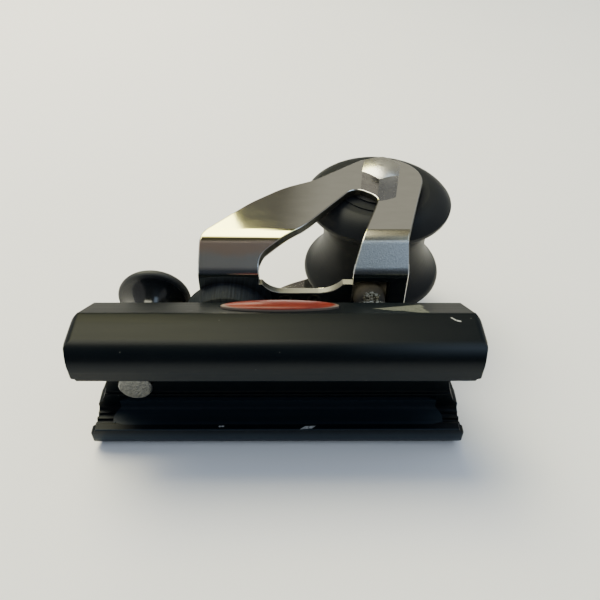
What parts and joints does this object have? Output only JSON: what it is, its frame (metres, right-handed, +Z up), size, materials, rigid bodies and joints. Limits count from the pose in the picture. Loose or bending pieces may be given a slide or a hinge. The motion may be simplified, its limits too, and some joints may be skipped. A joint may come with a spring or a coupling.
{
  "type": "genoa car",
  "caption": "T-track headsail lead car: a slotted black body with a pull-up stop and a tilting steel head with a sheave.",
  "frame": {"origin": "middle of the car's length and width, on the plane of the undersides of its two jaws", "axes": "+X along the track, away from the plunger stop; +Y across the car to the axle nut's side; +Z up from the track to the sheave"},
  "size_m": [0.1231, 0.0675, 0.1098],
  "materials": {
    "black_anodised": "satin black anodised",
    "liner_plastic": "smooth low-friction",
    "bush_plastic": "smooth low-friction",
    "stainless": "machined",
    "polished_stainless": "polished sheet",
    "ring_rubber": "ribbed matt",
    "sheave_plastic": "satin turned",
    "knob_plastic": "glossy moulded",
    "badge_resin": "domed resin, blank"
  },
  "bodies": {
    "car": {"car_body": "black_anodised", "slide_liner_near": "liner_plastic", "slide_liner_far": "liner_plastic", "pivot_rod": "stainless", "rod_set_screws": "stainless", "plunger_housing": "black_anodised", "plunger_spring": "stainless", "badge_near": "badge_resin", "badge_far": "badge_resin"},
    "head": {"rear_post": "stainless", "front_post": "stainless", "rear_pivot_bush": "bush_plastic", "front_pivot_bush": "bush_plastic", "stand_up_ring": "ring_rubber", "head_frame": "polished_stainless", "axle_sleeve": "stainless", "axle_bolt": "stainless", "thrust_washer_near": "bush_plastic", "thrust_washer_far": "bush_plastic", "nut_washer": "stainless", "lock_nut": "stainless"},
    "sheave": {"sheave": "sheave_plastic", "sheave_bush": "bush_plastic"},
    "plunger": {"plunger_pin": "stainless", "plunger_knob": "knob_plastic", "knob_pin": "stainless"}
  },
  "joints": [
    {"name": "head_tilt", "type": "hinge", "parent": "car", "child": "head", "pos_m": [0, 0, 0.0226], "axis": [1, 0, 0], "range_deg": [-15, 15], "stiffness_Nm_per_rad": 5, "deforming": ["stand_up_ring"]},
    {"name": "sheave_spin", "type": "hinge", "parent": "head", "child": "sheave", "pos_m": [0.0363, 0, 0.0829], "axis": [0, 1, 0], "continuous": true},
    {"name": "plunger_pull", "type": "slide", "parent": "car", "child": "plunger", "axis": [0, 0, 1], "range_m": [0, 0.0063], "stiffness_N_per_m": 1500, "springref_m": -0.005, "deforming": ["plunger_spring"]}
  ]
}
